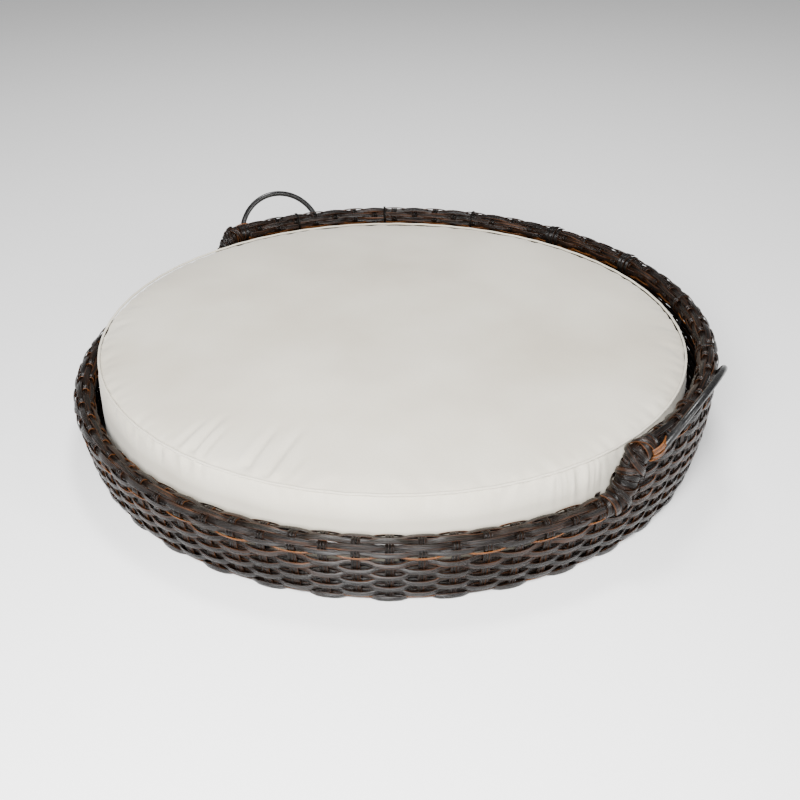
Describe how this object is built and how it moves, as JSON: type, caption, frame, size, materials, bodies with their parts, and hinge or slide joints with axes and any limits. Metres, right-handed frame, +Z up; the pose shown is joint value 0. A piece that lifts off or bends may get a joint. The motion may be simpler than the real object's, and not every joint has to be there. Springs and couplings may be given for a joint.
{
  "type": "woven pet bed basket",
  "caption": "Round woven pet bed basket with a low entrance front, raised back, bow handles on both sides and a thick lift-out boxed cushion.",
  "frame": {"origin": "on the floor under the centre of the round base ring", "axes": "+Z up, -Y towards the low front where the pet steps in, +Y towards the raised back, handles towards +X and -X"},
  "size_m": [0.7363, 0.7205, 0.1514],
  "materials": {
    "wicker": "flat woven polyethylene strand, dark espresso with lighter brown streaks",
    "frame_steel": "glossy black powder coat on steel rod and tube",
    "glide": "matt black moulded plastic",
    "cushion_fabric": "plain woven off-white cotton and polyester",
    "cushion_filling": "polyester wadding over foam",
    "zip_tape": "woven polyester tape",
    "zip_coil": "nylon coil",
    "zip_metal": "satin nickel plate"
  },
  "bodies": {
    "basket": {"base_ring": "frame_steel", "floor_bar_left": "frame_steel", "floor_bar_middle": "frame_steel", "floor_bar_right": "frame_steel", "floor_weave": "wicker", "glide_1": "glide", "glide_2": "glide", "glide_3": "glide", "glide_4": "glide", "post_01": "frame_steel", "post_02": "frame_steel", "post_03": "frame_steel", "post_04": "frame_steel", "post_05": "frame_steel", "post_06": "frame_steel", "post_07": "frame_steel", "post_08": "frame_steel", "post_09": "frame_steel", "post_10": "frame_steel", "post_11": "frame_steel", "post_12": "frame_steel", "post_13": "frame_steel", "post_14": "frame_steel", "post_15": "frame_steel", "post_16": "frame_steel", "post_17": "frame_steel", "post_18": "frame_steel", "side_weave": "wicker", "rim_tube_back": "frame_steel", "rim_tube_front": "frame_steel", "rim_wrap_back": "wicker", "rim_wrap_front": "wicker", "step_wrap_left": "wicker", "step_wrap_right": "wicker", "handle_left": "frame_steel", "handle_right": "frame_steel"},
    "cushion": {"cushion_top_panel": "cushion_fabric", "cushion_bottom_panel": "cushion_fabric", "cushion_boxing": "cushion_fabric", "cushion_core": "cushion_filling", "zip_tape_upper": "zip_tape", "zip_tape_lower": "zip_tape", "zip_chain": "zip_coil"},
    "zip_slider": {"zip_slider": "zip_metal"},
    "zip_pull": {"zip_pull": "zip_metal"}
  },
  "joints": [
    {"name": "cushion_lift", "type": "slide", "parent": "basket", "child": "cushion", "axis": [0, 0, 1], "range_m": [0, 0.18]},
    {"name": "zip_run", "type": "hinge", "parent": "cushion", "child": "zip_slider", "pos_m": [0, 0, 0.08], "axis": [0, 0, -1], "range_deg": [0, 93]},
    {"name": "zip_pull_swing", "type": "hinge", "parent": "zip_slider", "child": "zip_pull", "pos_m": [-0.24411, 0.22987, 0.08], "axis": [0, 0, 1], "range_deg": [0, 22]}
  ]
}
